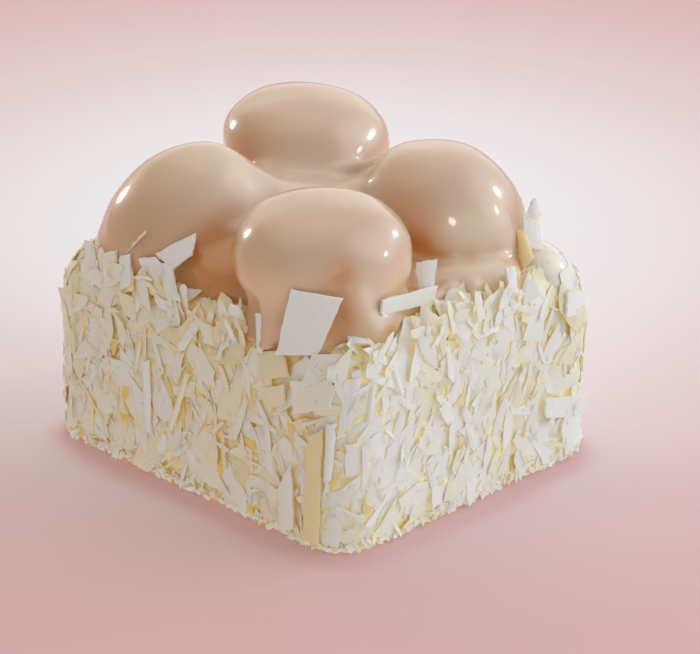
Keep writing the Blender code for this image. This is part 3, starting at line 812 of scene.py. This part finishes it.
def standingPiece():
    dice = np.random.default_rng(standingShape["seed"])
    rows, columns = standingShape["cells"]
    u = np.linspace(0, 1, rows + 1)[:, None, None]
    v = np.linspace(0, 1, columns + 1)[None, :, None]
    sheets = []
    for number, corners in enumerate(standing.values()):
        a, b, c, d = (np.array(corner) for corner in corners)
        sheet = (a * (1 - v) + b * v) * (1 - u) + (d * (1 - v) + c * v) * u
        # a chip that would lie inside the coat comes forward out of it
        near = coatDistance(sheet.reshape(-1, 3)).min()
        sheet = sheet + np.array(viewBack) * max(0.0, standingShape["clear"] - near)
        normal = np.cross(b - a, d - a)
        normal /= np.linalg.norm(normal)
        if normal @ np.array([*(a[:2] + c[:2]), 10]) < 0:
            normal = -normal
        rim = (np.abs(2 * u - 1) ** 6 + np.abs(2 * v - 1) ** 6) * standingShape["ragged"]
        sheet = sheet + dice.normal(0, 1, sheet.shape) * rim
        bulge = standingShape["bulge"] * (1 - (2 * v - 1) ** 2) * dice.uniform(*standingShape["bulges"])
        length, width = np.linalg.norm(d - a), np.linalg.norm(b - a)
        apart = standingShape["apart"] * number
        thickness = standingShape["thickness"]
        sheets.append(bothSides(sheet + normal * bulge, normal, thickness, u, v, length, width, apart))
    tints = [standingTints.get(name, standingShape["tint"]) for name in standing]
    return joinPlates("standingShavings", *zip(*sheets), standingShape["cells"], tints)


# golden shavings that lie low between the others, their gold a painted glow and shade of the gaps: place,
# half width, half length, tint
goldenGapShadeShavings = (
    ((-18.8, -36.6, 9.8), 1.5, 0.9, 1.25), ((-21.6, -36.6, 24.6), 0.9, 1.9, 1.16),
    ((-24.2, -36.6, 29.0), 1.0, 0.9, 1.14), ((-18.6, -36.5, 15.2), 0.8, 1.9, 1.18),
    ((-10.7, -36.6, 23.4), 0.8, 2.6, 1.12), ((-8.0, -36.6, 18.9), 1.0, 3.2, 1.10),
    ((-5.6, -36.6, 20.8), 0.7, 2.4, 1.13), ((0.3, -36.5, 26.9), 0.8, 2.2, 1.14),
    ((-2.4, -36.6, 16.4), 1.2, 3.0, 1.14), ((4.2, -36.8, 29.2), 0.7, 1.7, 1.16),
    ((8.4, -36.5, 8.7), 0.9, 1.7, 1.18), ((21.5, -36.8, 11.8), 1.2, 1.4, 1.20),
    ((16.0, -36.6, 3.0), 1.7, 1.2, 1.24), ((17.4, -36.5, 16.7), 1.3, 1.0, 1.18),
    ((17.5, -36.5, 26.0), 0.9, 3.0, 1.08), ((38.0, -35.2, 15.3), 0.9, 3.2, 1.14),
    ((40.4, -34.0, 15.0), 0.9, 1.3, 1.08), ((41.7, -30.0, 10.1), 0.7, 1.8, 1.14),
    ((38.4, -35.0, 30.6), 1.1, 1.2, 1.10), ((28.7, -36.6, 21.7), 0.7, 3.2, 1.10),
    ((40.6, -19.2, 39.6), 1.5, 1.2, 1.25), ((42.0, -23.2, 37.8), 0.9, 1.6, 1.12),
    ((37.0, -10.2, 41.6), 1.2, 1.1, 1.14), ((42.6, 3.0, 37.4), 0.8, 1.2, 1.06),
    ((42.4, 9.6, 35.8), 0.8, 1.1, 1.06), ((42.7, 17.0, 32.0), 1.0, 1.2, 1.05),
    ((42.2, -4.4, 23.9), 1.4, 0.9, 1.05), ((42.3, -8.7, 19.6), 1.3, 0.8, 1.06),
    ((42.7, 15.2, 14.6), 1.4, 0.6, 1.04), ((42.5, 14.6, 4.4), 0.7, 1.3, 1.06),
    ((42.6, -11.0, 7.5), 1.8, 0.6, 1.04), ((42.6, -21.2, 9.1), 0.7, 1.7, 1.05),
)

# broad near one end and pointed at the other
goldenShape = {
    "cells": (6, 2), "thickness": 0.30, "ragged": 0.12, "standOff": 1.50, "wider": 1.35, "pointed": 0.9,
    "broadEnd": 0.75, "slant": 0.25, "seed": 37, "apart": 23.0,
}


def goldenPiece():
    dice = np.random.default_rng(goldenShape["seed"])
    rows, columns = goldenShape["cells"]
    u = np.linspace(-1, 1, rows + 1)[:, None, None]
    v = np.linspace(-1, 1, columns + 1)[None, :, None]
    sheets = []
    for number, (centre, halfWidth, halfLength, _) in enumerate(goldenGapShadeShavings):
        facing = outwardFrom(np.array([centre]))[0]
        across = np.cross([0, 0, 1.0], facing)
        across /= np.linalg.norm(across)
        along = np.cross(facing, across)
        slant = dice.normal(0, goldenShape["slant"]) * halfLength
        broadEnd = dice.choice([-1, 1]) * goldenShape["broadEnd"]
        taper = 1 - goldenShape["pointed"] * np.abs(u - broadEnd) / (1 + abs(broadEnd))
        width = goldenShape["wider"] * halfWidth * v * taper + slant * u
        width = width + dice.normal(0, goldenShape["ragged"], (rows + 1, columns + 1, 1))
        sheet = (np.array(centre) + across * width + along * halfLength * u).reshape(-1, 3)
        for _ in range(2):
            sheet = sheet - (coatDistance(sheet) - goldenShape["standOff"])[:, None] * outwardFrom(sheet)
        thickness, apart = goldenShape["thickness"], goldenShape["apart"] * number
        sheets.append(bothSides(sheet, facing, thickness, u, v, halfLength, halfWidth, apart))
    tints = [tint for *_, tint in goldenGapShadeShavings]
    return joinPlates("goldenGapShadeShavings", *zip(*sheets), goldenShape["cells"], tints)


shavingPieces += [standingPiece(), goldenPiece()]


# how far each point is covered by the shavings around it, for the painted shade and glow between them

cover = {"reach": 3.2, "step": 0.12, "tilt": 0.9, "rays": 5, "shadedLeftSide": (0.45, -0.35)}


def addCover(pieces):
    corners, polygons, first = [], [], 0
    for piece in pieces:
        found = pointsOf(piece)
        corners.extend(found.tolist())
        polygons.extend(tuple(v + first for v in face.vertices) for face in piece.data.polygons)
        first += len(found)
    tree = BVHTree.FromPolygons(corners, polygons)
    points = np.array(corners)
    outward = outwardFrom(points)
    side = unit(np.cross(outward, [0, 0, 1.0]) + 1e-6)
    rise = np.cross(side, outward)
    shut = np.zeros(len(points))
    for ray in range(cover["rays"]):
        angle = 2 * math.pi * ray / (cover["rays"] - 1)
        spreadOut = cover["tilt"] * (ray > 0)
        way = unit(outward + spreadOut * (math.cos(angle) * side + math.sin(angle) * rise))
        start = points + cover["step"] * way
        for index, (a, b) in enumerate(zip(start.tolist(), way.tolist())):
            if tree.ray_cast(a, b, cover["reach"])[0] is not None:
                shut[index] += 1
    shut /= cover["rays"]
    # the left side is in shade, and the finish paints shade there
    shadedLeftSide = ramp(outward @ np.array(viewRight), *cover["shadedLeftSide"])
    first = 0
    for piece in pieces:
        last = first + len(piece.data.vertices)
        addMask(piece, "covered", shut[first:last])
        addMask(piece, "shadedLeftSide", shadedLeftSide[first:last])
        first = last


addCover([cakeBody, *shavingPieces])
print("cover ready")


# finishes

def feed(tree, socket, value):
    # a link from another node's output, or else a plain number or colour
    if hasattr(value, "is_output"):
        tree.links.new(value, socket)
    elif socket.type == "RGBA":
        socket.default_value = (*value, 1.0)
    else:
        socket.default_value = value


def addNode(tree, kind, inputs, output=0, **settings):
    node = tree.nodes.new("ShaderNode" + kind)
    for name, value in settings.items():
        setattr(node, name, value)
    for socket, value in inputs.items():
        feed(tree, node.inputs[socket], value)
    return node.outputs[output]


def maskNode(tree, name, output="Fac"):
    return addNode(tree, "Attribute", {}, output, attribute_name=name)


def mixNode(tree, share, first, second, blend="MIX"):
    # among the sockets of a mix, these are its share, its two colours and the mixed one
    return addNode(tree, "Mix", {0: share, 6: first, 7: second}, 2, data_type="RGBA", blend_type=blend)


def mathNode(tree, operation, *values, clamp=True):
    return addNode(tree, "Math", dict(enumerate(values)), operation=operation, use_clamp=clamp)


def rangeNode(tree, value, start, end=1.0, top=1.0, kind="SMOOTHSTEP"):
    # rises from 0 to the top value between the start and the end
    inputs = {"Value": value, "From Min": start, "From Max": end, "To Max": top}
    return addNode(tree, "MapRange", inputs, interpolation_type=kind)


def rampNode(tree, value, stops):
    colour = addNode(tree, "ValToRGB", {"Fac": value})
    elements = colour.node.color_ramp.elements
    while len(elements) < len(stops):
        elements.new(0.5)
    for element, (position, shown) in zip(elements, stops):
        element.position = position
        element.color = (*shown, 1.0)
    return colour


def bumpNode(tree, height, strength, depth):
    return addNode(tree, "Bump", {"Height": height, "Strength": strength, "Distance": depth * mm})


def newMaterial(name):
    made = bpy.data.materials.new(name)
    made.use_nodes = True
    return made, made.node_tree


def shade(tree, inputs):
    # uniform values go on the shader's own sockets, and the others are linked to them
    for socket, value in inputs.items():
        feed(tree, tree.nodes["Principled BSDF"].inputs[socket], value)


# soft patches and a fine speckle, for the shavings, the cake and the glaze, and how detailed they are
mottleDetail = {"Patches": 2.0, "Speckle": 3.0}


def makeMottle():
    group = bpy.data.node_groups.new("mottle", "ShaderNodeTree")
    for name in mottleDetail:
        group.interface.new_socket(name + " Scale", in_out="INPUT", socket_type="NodeSocketFloat")
        group.interface.new_socket(name, in_out="OUTPUT", socket_type="NodeSocketFloat")
    given = group.nodes.new("NodeGroupInput")
    result = group.nodes.new("NodeGroupOutput")
    place = addNode(group, "NewGeometry", {}, "Position")
    for name, detail in mottleDetail.items():
        inputs = {"Vector": place, "Scale": given.outputs[name + " Scale"], "Detail": detail}
        feed(group, result.inputs[name], addNode(group, "TexNoise", inputs))
    return group


mottle = makeMottle()


def mottleNode(tree, name, scale):
    return addNode(tree, "Group", {name + " Scale": scale}, name, node_tree=mottle)


glazeFinish = {
    "body": (0.615, 0.402, 0.265),
    "pale": (0.635, 0.485, 0.388),
    # laid over one another in this order by the masks of the same names
    "tints": {
        # painted light on the faces that look down
        "underside": (0.81, 0.55, 0.368),
        # painted shade in the folds and low down
        "tan": (0.62, 0.370, 0.185),
        # milky glaze, partly painted light on shaded places
        "milkyAndPaintedLight": (0.75, 0.630, 0.495),
        "creamy": (0.80, 0.740, 0.650),
        # painted crease shade, partly the warm tone of thin glaze
        "amberFoldShade": (0.57, 0.235, 0.055),
    },
    "patches": 45.0,
    "speckle": 600.0,
    # strength, and depth in millimetres
    "bump": (0.04, 0.2),
    "surface": {
        "Roughness": 0.30, "IOR": 1.46, "Subsurface Weight": 0.4, "Subsurface Radius": (1.0, 0.60, 0.35),
        "Subsurface Scale": 0.004, "Coat IOR": 1.62, "Coat Roughness": 0.08,
    },
}


def makeGlazeMaterial():
    made, tree = newMaterial("whiteChocolateGlaze")
    patches = mottleNode(tree, "Patches", glazeFinish["patches"])
    colour = mixNode(tree, patches, glazeFinish["body"], glazeFinish["pale"])
    for name, tint in glazeFinish["tints"].items():
        colour = mixNode(tree, maskNode(tree, name), colour, tint)
    glossy = mathNode(tree, "SUBTRACT", 1.0, maskNode(tree, "dull"))
    bump = bumpNode(tree, mottleNode(tree, "Speckle", glazeFinish["speckle"]), *glazeFinish["bump"])
    shade(tree, {**glazeFinish["surface"], "Base Color": colour, "Coat Weight": glossy, "Normal": bump})
    return made


shavingFinish = {
    "white": (0.81, 0.81, 0.81),
    "ivory": (0.82, 0.805, 0.73),
    "butter": (0.82, 0.77, 0.60),
    "tan": (0.75, 0.635, 0.43),
    "tintStops": ((0.0, "white"), (0.45, "white"), (0.72, "ivory"), (0.92, "butter"), (1.0, "tan")),
    # painted light: plates on the shaded left are tinted a little bluer, against the warm light on that side
    "paintedLeftTint": (1.0, 1.035, 1.13),
    # soft patches of butter, then fine spots of painted shade where a plate is partly covered: scales and
    # share
    "patches": 130.0,
    "spots": 400.0,
    "spotRange": (0.48, 0.70),
    "spotShare": 0.85,
    "spotColour": (0.84, 0.76, 0.45),
    # painted shade between the plates: on the right where they are well lit, and on the shaded left
    "gapShadeRight": (0.88, 0.81, 0.52),
    "gapShadeLeft": (0.84, 0.66, 0.23),
    "goldAndDeepShade": (0.90, 0.62, 0.18),
    # how far covered a place is where these two painted shades set in
    "coveredFrom": 0.3,
    "deepestFrom": 0.7,
    # what a mask is multiplied by, and what is then added: a tint above 1, cover for the painted shade spots,
    # the shaded left side for the painted deep shade
    "goldenTint": (5.0, -5.0),
    "spotCover": (3.5, -0.525),
    "orangeSide": (0.5, 0.3),
    "glowRight": (0.90, 0.80, 0.46),
    "glowLeft": (0.44, 0.33, 0.09),
    # how the grain is stretched along and across a plate, and its detail
    "grain": (0.16, 1.3, 1.0),
    "grainDetail": 3.0,
    "bump": (0.35, 0.3),
    "surface": {
        "Roughness": 0.45, "Subsurface Weight": 0.3, "Subsurface Radius": (1.0, 1.0, 1.0),
        "Subsurface Scale": 0.0007, "Emission Strength": 0.15,
    },
}


def makeShavingMaterial():
    finish = shavingFinish
    made, tree = newMaterial("whiteChocolateShavings")
    tint, shadedLeftSide, covered = (maskNode(tree, name) for name in ("tint", "shadedLeftSide", "covered"))
    colour = rampNode(tree, tint, [(place, finish[name]) for place, name in finish["tintStops"]])
    # painted light: plates on the shaded left are tinted by this colour
    colour = mixNode(tree, shadedLeftSide, colour, finish["paintedLeftTint"], "MULTIPLY")
    patches = mathNode(tree, "MULTIPLY", mottleNode(tree, "Patches", finish["patches"]), tint)
    colour = mixNode(tree, patches, colour, finish["butter"])
    golden = mathNode(tree, "MULTIPLY_ADD", tint, *finish["goldenTint"])
    colour = mixNode(tree, golden, colour, finish["goldAndDeepShade"])
    spots = mottleNode(tree, "Patches", finish["spots"])
    spots = rangeNode(tree, spots, *finish["spotRange"], finish["spotShare"])
    # the spots show only where a plate is partly covered: painted shade
    partly = mathNode(tree, "MULTIPLY_ADD", covered, *finish["spotCover"])
    colour = mixNode(tree, mathNode(tree, "MULTIPLY", spots, partly), colour, finish["spotColour"])
    # painted shade: the colour between the plates follows how covered a place is
    deep = rangeNode(tree, covered, finish["coveredFrom"])
    gapShade = mixNode(tree, shadedLeftSide, finish["gapShadeRight"], finish["gapShadeLeft"])
    colour = mixNode(tree, deep, colour, gapShade)
    # painted deep shade in the most covered places, stronger on the shaded left
    orangeShade = mathNode(tree, "MULTIPLY_ADD", shadedLeftSide, *finish["orangeSide"])
    orangeShade = mathNode(tree, "MULTIPLY", rangeNode(tree, covered, finish["deepestFrom"]), orangeShade)
    colour = mixNode(tree, orangeShade, colour, finish["goldAndDeepShade"])
    # light that comes through the thin plates shows as a faint warm glow deep between them
    glow = mixNode(tree, shadedLeftSide, finish["glowRight"], finish["glowLeft"])
    glow = mixNode(tree, deep, (0.0, 0.0, 0.0), glow)
    grain = {"Vector": maskNode(tree, "grain", "Vector"), "Scale": finish["grain"]}
    streaks = {"Vector": addNode(tree, "Mapping", grain), "Scale": 1.0, "Detail": finish["grainDetail"]}
    bump = bumpNode(tree, addNode(tree, "TexNoise", streaks), *finish["bump"])
    shade(tree, {**finish["surface"], "Base Color": colour, "Emission Color": glow, "Normal": bump})
    return made


cakeFinish = {
    "cream": (0.92, 0.86, 0.62),
    "shade": (0.94, 0.66, 0.20),
    "speckle": 1400.0,
    "bump": (0.4, 0.3),
    "surface": {
        "Roughness": 0.5, "Subsurface Weight": 0.3, "Subsurface Radius": (1.0, 0.6, 0.25),
        "Subsurface Scale": 0.002,
    },
}


def makeCakeMaterial():
    made, tree = newMaterial("creamUnderShavings")
    colour = mixNode(tree, maskNode(tree, "covered"), cakeFinish["cream"], cakeFinish["shade"])
    bump = bumpNode(tree, mottleNode(tree, "Speckle", cakeFinish["speckle"]), *cakeFinish["bump"])
    shade(tree, {**cakeFinish["surface"], "Base Color": colour, "Normal": bump})
    return made


glazeCoat.data.materials.append(makeGlazeMaterial())
cakeBody.data.materials.append(makeCakeMaterial())
shavingMaterial = makeShavingMaterial()
for piece in shavingPieces:
    piece.data.materials.append(shavingMaterial)
print("finishes ready")


# what the pieces stand for in the frame

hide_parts("glaze_pool", "puff_front", "puff_left", "puff_right", "puff_back")
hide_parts("cake_block")
for piece in shavingPieces:
    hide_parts("cake_block")
for piece in [glazeCoat, cakeBody, *shavingPieces]:
    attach(piece, "root")


# floor, room and lights

studio = {
    "floorSize": 6,
    "floor": {"Base Color": (0.73, 0.465, 0.505), "Roughness": 0.7},
    "roomLeft": (0.97, 0.80, 0.60),
    "roomRight": (0.98, 1.0, 1.0),
    # from where to where, seen from left to right, the room turns from one colour to the other
    "roomTurn": (-0.8, 0.5),
    "worldStrength": 0.57,
    # soft bright areas of the room: direction seen by the camera (right, up, back), how much brighter,
    # and how narrow, from 0 for half the room towards 1
    "patches": {
        "behind": ((0.10, 0.62, -0.78), 0.9, 0.5),
        "right": ((0.84, 0.48, 0.05), 1.74, 0.76),
        "above": ((-0.30, 0.85, 0.15), 0.8, 0.76),
        "below": ((0.0, -0.91, -0.42), 1.0, -0.2),
    },
    # the pale pool of light on the floor: metres behind the cake and above it, and the lamp itself
    "floorGlowAt": (0.11, 0.6),
    "floorGlow": {
        "energy": 15.0, "color": (0.25, 1.0, 0.95), "spot_size": math.radians(30), "spot_blend": 1.0,
        "shadow_soft_size": 0.08,
    },
    # towards the light as seen by the camera (right, up, back), distance and size in metres, watts, colour,
    # whether it shows as a highlight
    "aim": (0, 0, 0.03),
    "lights": {
        "softRight": ((0.90, 0.10, 0.45), 0.9, 1.5, 0.9, (0.98, 0.99, 1.0), False),
        "softTop": ((0.0, 1.0, -0.25), 0.9, 0.9, 0.1, (0.97, 0.98, 1.0), False),
        "sparkLeft": ((-0.70, 0.45, -0.57), 0.6, 0.10, 0.40, (1.0, 0.99, 0.98), True),
        "sparkRight": ((0.83, 0.49, -0.27), 0.6, 0.08, 0.35, (1.0, 0.99, 0.98), True),
        "sparkRightTwo": ((0.95, 0.30, 0.06), 0.6, 0.07, 0.09, (1.0, 0.99, 0.98), True),
        "sparkFront": ((0.30, -0.12, 0.94), 0.7, 0.12, 0.26, (1.0, 0.99, 0.98), True),
    },
}


def fromView(way):
    # a direction given as the camera sees it: right, up, back
    return (viewRight * way[0] + viewBack.cross(viewRight) * way[1] + viewBack * way[2]).normalized()


def makeFloor():
    bpy.ops.mesh.primitive_plane_add(size=studio["floorSize"])
    floor = bpy.context.object
    floor.name = "floor"
    made, tree = newMaterial("paleFloor")
    shade(tree, studio["floor"])
    floor.data.materials.append(made)
    # the floor catches shadows but throws no tint back on the cake
    floor.visible_diffuse = False
    return floor


def facingNode(tree, place, way):
    return addNode(tree, "VectorMath", {0: place, 1: way}, "Value", operation="DOT_PRODUCT")


def makeRoom():
    world = bpy.data.worlds.new("world")
    bpy.context.scene.world = world
    world.use_nodes = True
    tree = world.node_tree
    place = addNode(tree, "TexCoord", {}, "Generated")
    strength = studio["worldStrength"]
    for way, extra, narrow in studio["patches"].values():
        facing = facingNode(tree, place, fromView(way))
        swell = rangeNode(tree, facing, narrow, top=studio["worldStrength"] * extra)
        strength = mathNode(tree, "ADD", strength, swell, clamp=False)
    sideways = rangeNode(tree, facingNode(tree, place, viewRight), *studio["roomTurn"], kind="LINEAR")
    sky = tree.nodes["Background"].inputs
    feed(tree, sky["Strength"], strength)
    feed(tree, sky["Color"], mixNode(tree, sideways, studio["roomLeft"], studio["roomRight"]))
    bpy.context.scene.view_settings.view_transform = "Standard"


def addLamp(name, kind, settings):
    data = bpy.data.lights.new(name, kind)
    for setting, value in settings.items():
        setattr(data, setting, value)
    lamp = bpy.data.objects.new(name, data)
    bpy.context.scene.collection.objects.link(lamp)
    return lamp


def makeLights(floor):
    behind, rise = studio["floorGlowAt"]
    spot = addLamp("floorGlow", "SPOT", studio["floorGlow"])
    spot.visible_glossy = False
    spot.location = up * rise - Vector((viewBack.x, viewBack.y, 0)).normalized() * behind
    lit = bpy.data.collections.new("litFloor")
    bpy.context.scene.collection.children.link(lit)
    lit.objects.link(floor)
    spot.light_linking.receiver_collection = lit
    for name, (way, distance, size, power, colour, shows) in studio["lights"].items():
        lamp = addLamp(name, "AREA", {"shape": "DISK", "size": size, "energy": power, "color": colour})
        lamp.visible_glossy = shows
        towards = fromView(way)
        lamp.location = Vector(studio["aim"]) + towards * distance
        lamp.rotation_mode = "QUATERNION"
        lamp.rotation_quaternion = towards.to_track_quat("Z", "Y")


paleFloor = makeFloor()
makeRoom()
makeLights(paleFloor)
print("studio ready")
